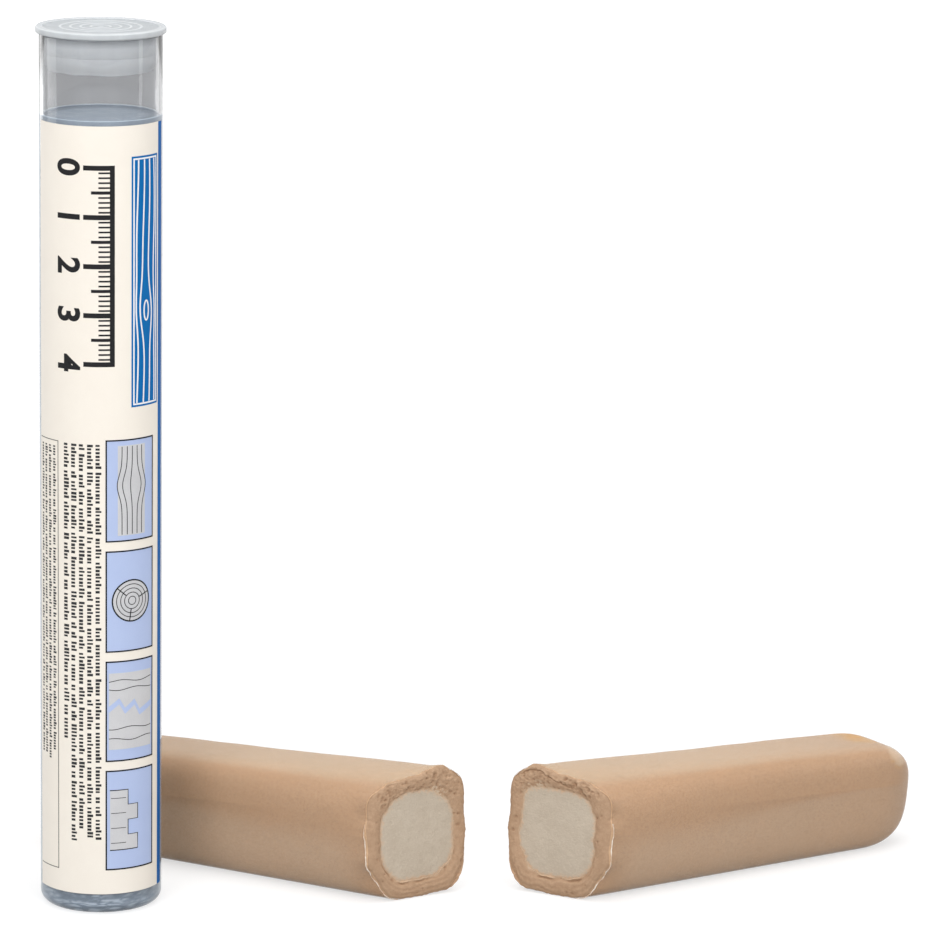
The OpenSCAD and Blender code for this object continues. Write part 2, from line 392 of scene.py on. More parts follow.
def putty_torn():
    """Outer compound where it was torn: matt crumbs, with painted shade in the hollows and painted light
    on the crests.
    """
    material, tree, shader = start_material("putty_torn", Specular_IOR_Level=0.25)
    where = places(tree)
    crumb = grain(where, 0.45)
    fine = grain(where, 0.2, 4.0)
    rough = attribute(tree, "crumb")
    # Colour follows the relief: painted shade where it is low, painted light where it is high
    height = ramp(attribute(tree, "relief"), -0.16, 0.10)
    base = tint(height, (0.318, 0.186, 0.105), (0.526, 0.349, 0.225))
    lump = ramp(grain(where, 1.3, 4.0), 0.4, 0.75, 0.0, 0.5)
    mixed = tint(lump, base, (0.582, 0.396, 0.263))
    # Painted highlight on the crumbs' crests and painted shade in their hollows, which follow the bump
    crest_highlight = maths("MULTIPLY", rough, ramp(crumb, 0.55, 0.70, 0.0, 0.4))
    pale = tint(crest_highlight, mixed, (0.650, 0.459, 0.320))
    hollow_shade = maths("MULTIPLY", rough, ramp(crumb, 0.45, 0.32, 0.0, 0.5))
    dark = tint(hollow_shade, pale, (0.335, 0.206, 0.125))
    stained = tint(attribute(tree, "stain"), dark, (0.66, 0.54, 0.40))
    specked = tint(ramp(fine, 0.42, 0.72, 0.0, 0.5), stained, (0.41, 0.262, 0.165))
    feed(shader, Base_Color=specked, Roughness=ramp(fine, 0.3, 0.7, 0.62, 0.8))
    first = add_bump(shader, maths("MULTIPLY", rough, crumb), 0.14)
    add_bump(shader, fine, 0.06, Normal=first)
    return material


def core_compound():
    """Off-white inner compound, matt and slightly fibrous, stained tan at its edge."""
    material, tree, shader = start_material("core_compound", IOR=1.4)
    where = places(tree)
    cloud = grain(where, 3.5, 4.0)
    fine = grain(where, 0.45, 5.0)
    base = tint(ramp(cloud, 0.35, 0.7), CORE_DARK, CORE)
    bright = tint(ramp(fine, 0.5, 0.75, 0.0, 0.6), base, (0.63, 0.547, 0.447))
    smear = grain(places(tree, (0.25, 0.25, 1)), 0.5, 4.0)
    grained = tint(ramp(smear, 0.45, 0.3, 0.0, 0.5), bright, (0.465, 0.388, 0.301))
    wander = ramp(grain(where, 0.9, 5.0), 0.3, 0.7, -0.06, 0.06)
    stain = ramp(maths("ADD", attribute(tree, "edge"), wander), 0.92, 1.03, 0.0, 0.75)
    rough = ramp(fine, 0.3, 0.7, 0.7, 0.85)
    feed(shader, Base_Color=tint(stain, grained, PUTTY), Roughness=rough)
    first = add_bump(shader, cloud, 0.1)
    add_bump(shader, fine, 0.12, Normal=first)
    return material


def clear_film():
    """Thin film with a little haze, with painted sheen low on the near side, a painted highlight on the
    flat top and painted light on the folded-over flap, and amber where it is folded over at the rear
    with a line of painted shade below the flap.
    """
    material, tree, shader = start_material(
        "clear_film", IOR=1.5, Alpha=0.2, Roughness=0.34, Specular_IOR_Level=0.3
    )
    where = places(tree)
    haze = grain(where, 1.2, 4.0)
    fine = ramp(grain(where, SKIN_GRAIN, 4.0), 0.40, 0.66, 0.07, 0.36)
    pale = tint(haze, (0.60, 0.41, 0.265), (0.70, 0.50, 0.335))
    # Painted sheen low on the near side, below the ridge
    painted_sheen = tint(attribute(tree, "painted_sheen"), pale, (0.76, 0.63, 0.48))
    # Painted highlight on the flat top
    top_highlighted = tint(attribute(tree, "top"), painted_sheen, (0.86, 0.77, 0.59))
    # Amber where the film is folded over, and a line of painted shade below the flap
    amber_and_shade = tint(attribute(tree, "fold_and_painted_shade"), top_highlighted, (0.80, 0.50, 0.18))
    grained = tint(fine, amber_and_shade, (0.36, 0.23, 0.14))
    # Painted light on the flap
    feed(shader, Base_Color=tint(attribute(tree, "flap"), grained, (0.86, 0.74, 0.56)))
    add_bump(shader, haze, 0.02)
    return material


def film_edge():
    """Stretched white edge of the film."""
    material, tree, shader = start_material("film_edge", IOR=1.5)
    broken = grain(places(tree), 1.6, 4.0)
    white = tint(ramp(broken, 0.42, 0.62), (0.60, 0.42, 0.29), (0.90, 0.82, 0.72))
    feed(shader, Base_Color=white, Roughness=ramp(broken, 0.3, 0.7, 0.3, 0.5))
    return material


# Mesh helpers

def solid(name, points, faces, materials, face_slots=None, sharp=40, values=None):
    """An object from points in millimetres, with its faces turned outwards."""
    mesh = bpy.data.meshes.new(name)
    mesh.from_pydata((np.asarray(points, float) * MM).tolist(), [], faces)
    for material in materials:
        mesh.materials.append(material)
    if face_slots is not None:
        mesh.polygons.foreach_set("material_index", face_slots)
    for key, data in (values or {}).items():
        layer = mesh.attributes.new(key, "FLOAT", "POINT")
        layer.data.foreach_set("value", np.asarray(data, np.float32))
    form = bmesh.new()
    form.from_mesh(mesh)
    bmesh.ops.recalc_face_normals(form, faces=form.faces)
    form.to_mesh(mesh)
    form.free()
    mesh.shade_smooth()
    mesh.set_sharp_from_angle(angle=math.radians(sharp))
    made = bpy.data.objects.new(name, mesh)
    bpy.context.scene.collection.objects.link(made)
    return made


def columns(*values):
    return np.stack(values, axis=1)


def arc(middle_r, middle_z, radius, start, end, steps=10):
    """Points of a circular arc in a profile of (radius, height)."""
    turns = [math.radians(start + (end - start) * i / steps) for i in range(steps + 1)]
    return [(middle_r + radius * math.cos(a), middle_z + radius * math.sin(a)) for a in turns]


def bridge(low, high):
    """Faces between two rows of vertices, either of which may be a single vertex."""
    if len(low) == 1:
        n = len(high)
        return [(low[0], high[(i + 1) % n], high[i]) for i in range(n)]
    n = len(low)
    if len(high) == 1:
        return [(low[i], low[(i + 1) % n], high[0]) for i in range(n)]
    return [(low[i], low[(i + 1) % n], high[(i + 1) % n], high[i]) for i in range(n)]


def skin(rows):
    """Points and faces of a skin through rows of points. A row of one point is a pole."""
    starts = np.cumsum([0] + [len(row) for row in rows])
    index = [list(range(a, b)) for a, b in zip(starts, starts[1:])]
    faces = []
    for low, high in zip(index, index[1:]):
        faces += bridge(low, high)
    return np.concatenate(rows), faces


def lathe(profile, around):
    """Rows of points of a profile of (radius, height) turned about Z. A radius of 0 is a pole."""
    turn = np.linspace(0, 2 * math.pi, around, endpoint=False)
    rows = []
    for r, z in profile:
        a = turn[:1] if r == 0 else turn
        rows.append(columns(r * np.cos(a), r * np.sin(a), 0 * a + z))
    return rows


def lumps(points, size, seed):
    """Smooth noise from about -1 to 1 at each point, with lumps about size across."""
    shift = np.array([17.3, 5.7, 11.1]) * seed
    where = np.asarray(points, float) / size + shift
    return np.array([noise.noise(Vector(p)) for p in where])


def layers(points, seed, *parts):
    """Sum of smooth noises, each given as (height, size)."""
    total = 0
    for k, (height, size) in enumerate(parts):
        total = total + height * lumps(points, size, seed + k)
    return total


def smooth_step(value, low, high):
    share = np.clip((value - low) / (high - low), 0, 1)
    return share * share * (3 - 2 * share)


def between(value, start, full, fade, end):
    """1 from full to fade, and 0 before start and after end."""
    return smooth_step(value, start, full) * (1 - smooth_step(value, fade, end))


# Tube, cap and stick

def make_tube():
    profile = [(0, 0), (TUBE_R - BASE_R - 1, 0)]
    profile += arc(TUBE_R - BASE_R, BASE_R, BASE_R, -90, 0, 14)
    profile += [(TUBE_R, z) for z in WALL_ROWS]
    profile += arc(TUBE_R - MOUTH_R, TUBE_H - MOUTH_R, MOUTH_R, 0, 90, 5)
    profile += arc(BORE_R + MOUTH_R, TUBE_H - MOUTH_R, MOUTH_R, 90, 180, 5)
    profile += [(BORE_R, z) for z in WALL_ROWS[::-1]]
    profile += arc(BORE_R - BORE_CORNER, BASE_T + BORE_CORNER, BORE_CORNER, 0, -90, 12)
    profile += [(BORE_R - BORE_CORNER - 1, BASE_T), (0, BASE_T)]
    points, faces = skin(lathe(profile, TUBE_POINTS))
    made = solid("tube_clear", points, faces, [clear_plastic()])
    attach(made, "tube")
    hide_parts("tube")


def ring_bumps():
    """Profile of the low rings on the cap's top, from the centre out."""
    profile = [(0, TOP_Z + 0.1), (0.5, TOP_Z + 0.1), (0.8, TOP_Z)]
    for i in range(1, RINGS + 1):
        for k in range(9):
            share = k / 8
            r = i * RING_PITCH + (share - 0.5) * RING_W
            profile.append((r, TOP_Z + RING_H * math.sin(math.pi * share) ** 1.5))
    return profile


def cap_profile(inner):
    """Profile of the cap: rings, raised rim from inner out, flange, land, lead-in and hollow."""
    tip_r = LEAD_R - LEAD_DRAW
    hollow_r = tip_r - TIP_WALL
    curve = (LEAD_H ** 2 + LEAD_DRAW ** 2) / (2 * LEAD_DRAW)
    edge_r = FLANGE_R - FLANGE_EDGE
    profile = ring_bumps()
    profile += arc(inner - RIM_FILLET, TOP_Z + RIM_FILLET, RIM_FILLET, -90, 0, 5)
    profile += arc(inner + RIM_FILLET, FLANGE_T - RIM_EDGE, RIM_EDGE, 180, 90, 4)
    profile += arc(edge_r, FLANGE_T - FLANGE_EDGE, FLANGE_EDGE, 90, 0, 6)
    profile += arc(edge_r, FLANGE_EDGE, FLANGE_EDGE, 0, -90, 6)
    profile += [(LAND_R + 0.05, 0), (LAND_R, -0.1), (LAND_R, -LAND_H / 2), (LAND_R, -LAND_H + 0.08)]
    profile += [(LAND_R - 0.04, -LAND_H), (LEAD_R, -LAND_H - 0.05)]
    for k in range(1, 15):
        drop = LEAD_H * k / 14
        profile.append((LEAD_R - curve + math.sqrt(curve ** 2 - drop ** 2), -LAND_H - drop))
    profile += arc(tip_r - TIP_EDGE, -PLUG_H, TIP_EDGE, 0, -90, 4)
    profile += arc(hollow_r + TIP_EDGE, -PLUG_H, TIP_EDGE, -90, -180, 4)
    profile += [(hollow_r, z) for z in (-6, -4, -2)]
    profile += arc(hollow_r - WEB_FILLET, WEB_Z - WEB_FILLET, WEB_FILLET, 0, 90, 4)
    profile += [(hollow_r / 2, WEB_Z), (0, WEB_Z)]
    return profile


def make_cap():
    """The cap, with the share of white plastic at each point and a ragged tip: thick plastic, and
    painted light on the plug.
    """
    inner = FLANGE_R - RIM_W
    points, faces = skin(lathe(cap_profile(inner), CAP_POINTS))
    r = np.hypot(points[:, 0], points[:, 1])
    z = points[:, 2].copy()
    # The plug is whiter than the flange, partly for its thicker wall and partly as painted light that
    # makes up for the light the smoky tube takes
    plug = 1 - smooth_step(z, -0.6, 0.0)
    ring = smooth_step(z, TOP_Z + 0.02, TOP_Z + 0.15) * (z < FLANGE_T - 0.02)
    rim = smooth_step(r, inner - 0.2, inner + 0.2) * smooth_step(z, 0.0, 0.4)
    # Painted highlight along the plug's tip, and a thin line of painted shade at the step from land to
    # lead-in
    tip = smooth_step(-z, PLUG_H - 0.5, PLUG_H)
    step = np.exp(-(((z + LAND_H) / 0.12) ** 2))
    plug = plug * (0.82 + 0.18 * tip - 0.08 * step)
    thick_and_painted_light = np.maximum(plug, np.maximum(0.36 * ring, 0.20 * rim))
    ragged = smooth_step(-z, PLUG_H - 0.6, PLUG_H)
    points[:, 2] += ragged * (layers(points * (1, 1, 0), 3, (0.16, 2.2), (0.08, 0.7)) - 0.05)
    points[:, 2] += TUBE_H
    made = solid("plug_cap", points, faces, [cap_plastic()], sharp=50, values={"thick_and_painted_light": thick_and_painted_light})
    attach(made, "cap")
    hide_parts("cap")


def foot_profile(r, low, foot, steps, top):
    """Profile of an upright rod from the middle of its close-set foot up its wall."""
    start = low + foot + FOOT_BAND
    profile = [((r - foot) * k / 8, low) for k in range(8)]
    profile += arc(r - foot, low + foot, foot, -90, 0, steps)
    profile += [(r, low + foot + FOOT_BAND * k / steps) for k in range(1, steps + 1)]
    profile += [(r, start + (top - start) * k / 60) for k in range(1, 61)]
    return profile


def wrap_profile():
    """Profile of the wrap: close-set foot, straight wall, and a thin lip round the sunk end."""
    r = BORE_R + CLING
    end = STICK_TOP - LIP_EDGE
    sunk = STICK_TOP - WRAP_SINK
    inner = r - WRAP_LIP - SINK_FILLET
    profile = foot_profile(r, BASE_T - CLING, BORE_CORNER + CLING, 24, end - 2)
    profile += [(r, end - 1.2), (r, end - 0.2), (r, end - 0.08)]
    profile += arc(r - LIP_EDGE, end, LIP_EDGE, 0, 90, 5)
    profile += arc(r - WRAP_LIP + LIP_EDGE, end, LIP_EDGE, 90, 170, 4)
    profile += arc(inner, sunk + SINK_FILLET, SINK_FILLET, 0, -90, 4)
    profile += [(inner * (1 - k / 12), sunk) for k in range(1, 12)]
    profile += [(0, sunk)]
    return profile


def make_wrap():
    """The wrap, which clings to the bore and is lapped at its back, with painted shade on its wall and
    in a pattern of folds at its foot, and a painted highlight along the back of its lip.
    """
    points, faces = skin(lathe(wrap_profile(), WRAP_POINTS))
    r = np.hypot(points[:, 0], points[:, 1])
    turn = np.arctan2(points[:, 0], points[:, 1])
    z = points[:, 2].copy()
    below = STICK_TOP - z
    side = smooth_step(r, 8, 11)
    low = 1 - smooth_step(z, 5.0, 10.0)
    level = columns(2.6 * np.sin(turn), 2.6 * np.cos(turn), 1.3 * z)
    broad = smooth_step(np.abs(lumps(level, 1.0, 7)), 0.02, 0.36)
    fine = smooth_step(np.abs(lumps(level * (2, 2, 1.8), 1.0, 8)), 0.02, 0.36)
    folds = np.maximum(1 - broad, 0.7 * (1 - fine))
    front = np.exp(-((turn / math.pi) % 2 - 1) ** 2 / 0.06)
    # Painted shade: the wall darker than the top, and at the foot darker in a pattern of folds, most on
    # the near side
    shade = 0.48 + low * (0.3 + 0.8 * front) * (folds - 0.25)
    # Painted shade on the band of wall just below the lip
    shade += 0.3 * (1 - smooth_step(below, 1.2, 2.5))
    shade = side * smooth_step(below, 0.14, 0.2) * np.clip(shade, 0, 1)
    body = side * smooth_step(below, 2, 6) * smooth_step(z, 8, 12)
    lap = between(turn, 0.0, 0.02, 0.0, 1.2)
    draw = body * (0.05 * np.maximum(0, lumps(points * (1, 1, 0.2), 4, 9) - 0.25) + 0.14 * lap)
    points[:, :2] *= (1 - draw / np.maximum(r, 1))[:, None]
    disc = smooth_step(-below, -0.5, -0.45) * (1 - smooth_step(r, 9.0, 11.0))
    points[:, 2] += disc * (layers(points, 10, (0.10, 5), (0.04, 1.8)) - 0.08)
    # Painted highlight along the back of the lip, away from the near side
    rim = smooth_step(points[:, 1], -4.0, 5.0) * smooth_step(-below, -0.2, -0.06)
    made = solid("stick_wrap", points, faces, [wrap_foil()], values={"fold_and_painted_shade": shade, "rim": rim})
    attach(made, "stick")
    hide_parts("stick_wrapper")


def core_profile(r, low, top, gap, rows):
    """Profile of a core with bevelled ends, smaller by gap, with rows of points up its wall."""
    wide = r - gap
    flat = wide - CORE_EDGE
    foot = [(0, low + gap), (flat, low + gap), (wide, low + CORE_EDGE + gap)]
    wall = [(wide, low + (top - low) * k / rows) for k in range(1, rows)]
    return foot + wall + [(wide, top - CORE_EDGE - gap), (flat, top - gap), (0, top - gap)]


def make_stick_inside(skin_material, core_material):
    """Outer and inner compound of the uncut stick, hidden in its wrap."""
    core_r = STICK_R - WRAP_T - STICK_RIM
    low = STICK_Z + WRAP_T + STICK_RIM
    top = STICK_TOP - WRAP_T - STICK_RIM
    inset = WRAP_T + STICK_SLACK
    r = STICK_R - inset
    edge_z = STICK_TOP - inset - STICK_EDGE
    rod = foot_profile(r, STICK_Z + inset, STICK_FOOT - inset, 6, edge_z)
    rod += arc(r - STICK_EDGE, edge_z, STICK_EDGE, 0, 90, 6)
    rod += [((r - STICK_EDGE) * (1 - k / 10), STICK_TOP - inset) for k in range(1, 10)]
    rod += [(0, STICK_TOP - inset)]
    outside, outside_faces = skin(lathe(rod, STICK_POINTS))
    pocket = core_profile(core_r, low, top, 0, 1)[::-1]
    inside, inside_faces = skin(lathe(pocket, STICK_POINTS))
    faces = outside_faces + [tuple(i + len(outside) for i in f) for f in inside_faces]
    points = np.concatenate([outside, inside])
    points[:, :2] *= 1 - 0.004 * (1 + lumps(points, 6, 12))[:, None]
    shell = solid("stick_outer", points, faces, [skin_material], values={"fold_and_painted_shade": 0 * points[:, 0]})
    points, faces = skin(lathe(core_profile(core_r, low, top, LAYER_GAP, 20), STICK_POINTS))
    points[:, :2] *= 1 - 0.004 * (1 + lumps(points, 6, 13))[:, None]
    core = solid("stick_inner", points, faces, [core_material], values={"edge": 0 * points[:, 0]})
    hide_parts("stick_shell")
    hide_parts("stick_core")
    for made in (shell, core):
        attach(made, "stick")


# Label and its print

def rect(s0, z0, s1, z1):
    return [(s0, z0), (s1, z0), (s1, z1), (s0, z1)]


def ribbon(path, width):
    """Strip of quads along a path of (arc, height)."""
    path = np.array(path, float)
    step = np.gradient(path, axis=0)
    step /= np.linalg.norm(step, axis=1)[:, None]
    side = columns(-step[:, 1], step[:, 0]) * width / 2
    left = path + side
    right = path - side
    return [[right[i], right[i + 1], left[i + 1], left[i]] for i in range(len(path) - 1)]


def outline(s0, z0, s1, z1, width):
    """Four bars along the inside of a rectangle."""
    return [
        rect(s0, z0, s1, z0 + width),
        rect(s0, z1 - width, s1, z1),
        rect(s0, z0 + width, s0 + width, z1 - width),
        rect(s1 - width, z0 + width, s1, z1 - width),
    ]


def ellipse(s, z, a, b, steps=40):
    turns = np.linspace(0, 2 * math.pi, steps + 1)
    return [(s + a * math.cos(t), z + b * math.sin(t)) for t in turns]


def wrap_round(name, polygons, low, high, material):
    """Flat polygons of (arc, height), raised to a thin solid and bent round the tube."""
    form = bmesh.new()
    for polygon in polygons:
        form.faces.new([form.verts.new((s, z, 0)) for s, z in polygon])
    bmesh.ops.remove_doubles(form, verts=form.verts[:], dist=WELD)
    bmesh.ops.triangulate(form, faces=form.faces[:])
    for k in range(1, int(LABEL_W / STRIP) + 1):
        geometry = form.verts[:] + form.edges[:] + form.faces[:]
        bmesh.ops.bisect_plane(form, geom=geometry, plane_co=(k * STRIP, 0, 0), plane_no=(1, 0, 0))
    form.normal_update()
    for face in form.faces:
        if face.normal.z < 0:
            face.normal_flip()
    form.verts.index_update()
    flat = np.array([v.co[:2] for v in form.verts])
    count = len(flat)
    faces = []
    for face in form.faces:
        ring = [v.index for v in face.verts]
        faces.append([i + count for i in ring])
        faces.append(ring[::-1])
    for edge in form.edges:
        if len(edge.link_loops) == 1:
            loop = edge.link_loops[0]
            a = loop.vert.index
            b = loop.link_loop_next.vert.index
            faces.append([a, b, b + count, a + count])
    form.free()
    turn = np.radians(LABEL_START + flat[:, 0] / ARC)
    points = [columns(r * np.sin(turn), -r * np.cos(turn), flat[:, 1]) for r in (low, high)]
    made = solid(name, np.concatenate(points), faces, [material], sharp=60)
    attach(made, "tube")
    return made


def numeral(text, s, z, size):
    """Polygons of a plain number that reads downwards, centred on a height."""
    curve = bpy.data.curves.new("numeral", "FONT")
    curve.body = text
    curve.size = size
    curve.offset = 0.03 * size
    curve.align_x = "CENTER"
    holder = bpy.data.objects.new("numeral", curve)
    bpy.context.scene.collection.objects.link(holder)
    view = bpy.context.evaluated_depsgraph_get()
    mesh = bpy.data.meshes.new_from_object(holder.evaluated_get(view))
    shapes = [[mesh.vertices[i].co for i in face.vertices] for face in mesh.polygons]
    polygons = [[(s + p.y, z - p.x) for p in shape] for shape in shapes]
    bpy.data.objects.remove(holder)
    bpy.data.meshes.remove(mesh)
    return polygons


def scale_print():
    """Bold portion scale in centimetres along the upper label."""
    start = 155.5
    spine = 18.0
    shapes = [rect(spine, start - 40.5, spine + 1.0, start + 0.5)]
    for k in range(41):
        long, half = (5.4, 0.5) if k % 10 == 0 else (3.8, 0.32) if k % 5 == 0 else (2.3, 0.18)
        shapes.append(rect(spine - long, start - k - half, spine, start - k + half))
    for k in range(5):
        shapes += numeral(str(k), 6.9, start - 10 * k, 7.0)
    return shapes


def row_print(rng, s, top, end, height, pitch):
    """One row of fine print as small plain blocks, in words of uneven length."""
    shapes = []
    z = top
    while z > end + 8 * pitch:
        for _ in range(int(rng.integers(2, 10))):
            tall = height * (1.4 if rng.random() < 0.28 else 1.0)
            wide = pitch * rng.uniform(0.5, 0.78)
            shapes.append(rect(s, z - wide, s + tall, z))
            z -= pitch
        z -= pitch * 0.75
    return shapes


def fine_print():
    """Five rows of fine print, and four smaller ones in a frame that is open on its left."""
    rng = np.random.default_rng(5)
    s0, z0, s1, z1 = FINE_FRAME
    shapes = []
    for k in range(5):
        shapes += row_print(rng, 8.2 + 1.72 * k, 99, 34 if k == 0 else 12, 0.85, 0.74)
    shapes.append(rect(s1 - FINE_LINE, z0, s1, z1))
    shapes.append(rect(s0, z0, s1, z0 + FINE_LINE))
    shapes.append(rect(s0, z1 - FINE_LINE, s1, z1))
    for k in range(4):
        shapes += row_print(rng, 1.0 + 1.4 * k, 98, 30, 0.62, 0.56)
    return shapes


def grain_print():
    """White wood grain that flows round a knot, for the blue block."""
    s0, z0, s1, z1 = BLOCK
    line = 0.34
    shapes = outline(s0 + 0.4, z0 + 0.4, s1 - 0.4, z1 - 0.4, 0.32)
    for k in range(4):
        path = []
        offset = (k - 1.5) * 1.55
        for z in np.linspace(z0 + 0.8, z1 - 0.8, 70):
            push = math.exp(-((z - KNOT[1]) / 5.5) ** 2) * math.exp(-abs(offset) / 2.2)
            s = (s0 + s1) / 2 + offset + 0.24 * math.sin(0.17 * z + 0.5 * k)
            s += push * math.copysign(1.3, offset)
            path.append((min(max(s, s0 + 1.1), s1 - 1.1), z))
        shapes += ribbon(path, line)
    return shapes + ribbon(ellipse(*KNOT, 0.62, 2.0), line)


def panel_places():
    """Lower left corner of each picture panel, from the top down."""
    return [(PANEL_S[0], PANEL_Z + PANEL_PITCH * (PANELS - 1 - k)) for k in range(PANELS)]


def in_panel(corner, path):
    """A path given in shares of a panel's width and height."""
    return [(corner[0] + PANEL_W * a, corner[1] + PANEL_H * b) for a, b in path]


def finger_outline():
    """Outline of a board end with square fingers, in shares of the panel."""
    path = [(0.08, 0.2)]
    for k in range(4):
        low = 0.2 + 0.15 * k
        tip = 0.62 if k % 2 == 0 else 0.42
        path += [(tip, low), (tip, low + 0.15)]
    return path + [(0.08, 0.8)]


def panel_boards():
    """Pale grey bodies of the four pictures: plank, end grain, cracked board, finger joint."""
    plank, disc, board, joint = panel_places()
    middle = in_panel(disc, [(0.5, 0.5)])[0]
    lower = [(a, b - 0.03) for a, b in CRACK]
    upper = [(a, b + 0.03) for a, b in CRACK]
    return [
        in_panel(plank, rect(0.22, 0.06, 0.78, 0.94)),
        ellipse(*middle, 4.4, 4.4)[:-1],
        in_panel(board, [(0.06, 0.12), (0.94, 0.12)] + lower[::-1]),
        in_panel(board, upper + [(0.94, 0.88), (0.06, 0.88)]),
        in_panel(joint, finger_outline()),
    ]


def panel_lines():
    """Dark lines of the four pictures."""
    plank, disc, board, joint = panel_places()
    middle = np.array(in_panel(disc, [(0.5, 0.5)])[0])
    shapes = []
    for s, z in panel_places():
        shapes += outline(s, z, s + PANEL_W, z + PANEL_H, 0.3)
    for k in range(5):
        offset = 0.3 + 0.1 * k
        away = (1 if offset > 0.5 else -1) * (0.4 if k == 2 else 1)
        path = []
        for b in np.linspace(0.07, 0.93, 30):
            path.append((offset + 0.09 * math.exp(-((b - 0.55) / 0.14) ** 2) * away, b))
        shapes += ribbon(in_panel(plank, path), 0.16)
    for k in range(1, 6):
        shapes += ribbon(ellipse(*middle, 0.86 * k, 0.86 * k), 0.16 if k < 5 else 0.3)
    for turn in np.radians((20, 140, 262)):
        way = np.array([math.cos(turn), math.sin(turn)])
        shapes += ribbon([middle + way * 1.8, middle + way * 4.2], 0.22)
    for b in (0.22, 0.33, 0.72, 0.8):
        wave = [(a, b + 0.012 * math.sin(9 * a + 30 * b)) for a in np.linspace(0.06, 0.94, 24)]
        shapes += ribbon(in_panel(board, wave), 0.14)
    shapes += ribbon(in_panel(joint, finger_outline()), 0.2)
    for b in (0.27, 0.42, 0.57, 0.72):
        shapes += ribbon(in_panel(joint, [(0.1, b), (0.38, b)]), 0.12)
    return shapes


def make_label():
    """The label and, in layers of ink on it, its print."""
    cream = paper("label_cream", (0.910, 0.853, 0.766), (0.872, 0.809, 0.723))
    black = paper("print_black", (0.011, 0.011, 0.012), (0.020, 0.020, 0.022), 0.5, 0.12)
    fine = paper("print_fine", (0.030, 0.030, 0.032), (0.050, 0.050, 0.052), 0.5, 0.12)
    blue = paper("print_blue", (0.003, 0.120, 0.40), (0.002, 0.104, 0.36), 0.5, 0.1)
    box = paper("print_box", (0.004, 0.150, 0.44), (0.003, 0.134, 0.40), 0.5, 0.1)
    sky = paper("print_sky", (0.48, 0.57, 0.81), (0.43, 0.52, 0.77), 0.5, 0.2)
    grey = paper("print_grey", (0.66, 0.66, 0.67), (0.55, 0.55, 0.57), 0.5, 0.2)
    white = paper("print_white", (0.93, 0.93, 0.93), (0.87, 0.87, 0.87), 0.5, 0.2)
    sheet = wrap_round(
        "label_sheet", [rect(0, LABEL_Z, LABEL_W, LABEL_TOP)], LABEL_BACK, LABEL_FACE, cream
    )
    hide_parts("label")
    stripe = [rect(STRIPE_S, LABEL_Z, LABEL_W - STRIPE_BACK, LABEL_TOP)]
    panels = [rect(s, z, PANEL_S[1], z + PANEL_H) for s, z in panel_places()]
    for name, level, shapes, ink in (
        ("print_stripe", 0, stripe, blue),
        ("print_block", 0, [rect(*BLOCK)], box),
        ("print_grain", 1, grain_print(), white),
        ("print_scale", 0, scale_print(), black),
        ("print_rows", 0, fine_print(), fine),
        ("print_panels", 0, panels, sky),
        ("print_boards", 1, panel_boards(), grey),
        ("print_lines", 2, panel_lines(), black),
    ):
        wrap_round(name, shapes, LABEL_FACE + level * INK, LABEL_FACE + (level + 1) * INK, ink)


# Cut halves. Along each half x runs from the cut to the rear end, u to the side and z up.

def reach(t, faces, sharpness):
    """Distance from the middle to an outline that faces hold in, at each angle."""
    pull = 0
    for across, up in faces:
        pull = pull + np.maximum(0, across * np.cos(t) + up * np.sin(t)) ** sharpness
    return pull ** (-1 / sharpness)


def outer_faces(x):
    """Faces of the outer section at x, with what is left of the face that the cut pressed in."""
    share = max(0, 1 - x / PRESS_LEN)
    return SECTION_FACES + ((PRESS_FACE[0] * share, PRESS_FACE[1] * share),)


def even_angles(count):
    """Section angles that space points evenly round the outer section."""
    t = np.linspace(0, 2 * math.pi, 20001)
    r = reach(t, outer_faces(10), SQUARENESS)
    u = HALF_W / 2 * r * np.cos(t)
    v = HALF_H / 2 * r * np.sin(t)
    run = np.concatenate([[0], np.cumsum(np.hypot(np.diff(u), np.diff(v)))])
    return np.interp(np.linspace(0, run[-1], count, endpoint=False), run, t)


def circle(t):
    """Points of a unit circle."""
    return columns(np.cos(t), np.sin(t), 0 * t)


def tear_wave(t):
    total = 0 * t
    for share, waves, phase in TEAR_WAVES:
        total = total + share * np.sin(waves * t + math.radians(phase))
    return TEAR * total


def section(t, x, q, inset, behind, slant):
    """One outer section at x, scaled by q and drawn in by inset, with its edge behind the cut.

    Slant is the share of the cut's slant that is left at x.
    """
    r = reach(t, outer_faces(x + slant * behind), SQUARENESS)
    wide = HALF_W - REAR_DRAW_W * x / HALF_LEN
    tall = HALF_H - REAR_DRAW_H * x / HALF_LEN
    u = q * (wide / 2 - inset) * r * np.cos(t)
    v = q * (tall / 2 - inset) * r * np.sin(t)
    along = x + slant * (-u * CUT_SLOPE + tear_wave(t) + behind)
    return columns(along, u, np.maximum(inset, tall / 2 - SETTLE + v))


def stations(straight):
    """Places along a half as (x, scale), of which the rounding's get smaller."""
    even = straight - EVEN_FROM
    count = int(even / ROW_STEP)
    power = 2 / ROUND_POWER
    rows = [(x, 1.0) for x in NEAR_ROWS]
    rows += [(EVEN_FROM + even * k / count, 1.0) for k in range(count)]
    for k in range(NOSE_ROWS):
        a = math.radians(90 * k / NOSE_ROWS)
        rows.append((straight + REAR_ROUND * math.sin(a) ** power, math.cos(a) ** power))
    return rows


def outward(ring):
    """Unit vectors out of a section, in its own plane."""
    step = np.roll(ring, -1, axis=0) - np.roll(ring, 1, axis=0)
    out = columns(0 * step[:, 0], step[:, 2], -step[:, 1])
    return out / np.maximum(np.linalg.norm(out, axis=1)[:, None], 1e-6)


def swelling(t, middle, spread):
    """A smooth bump of height 1 round the section, at an angle in degrees."""
    off = (np.degrees(t) - middle + 180) % 360 - 180
    return np.exp(-((off / spread) ** 2))


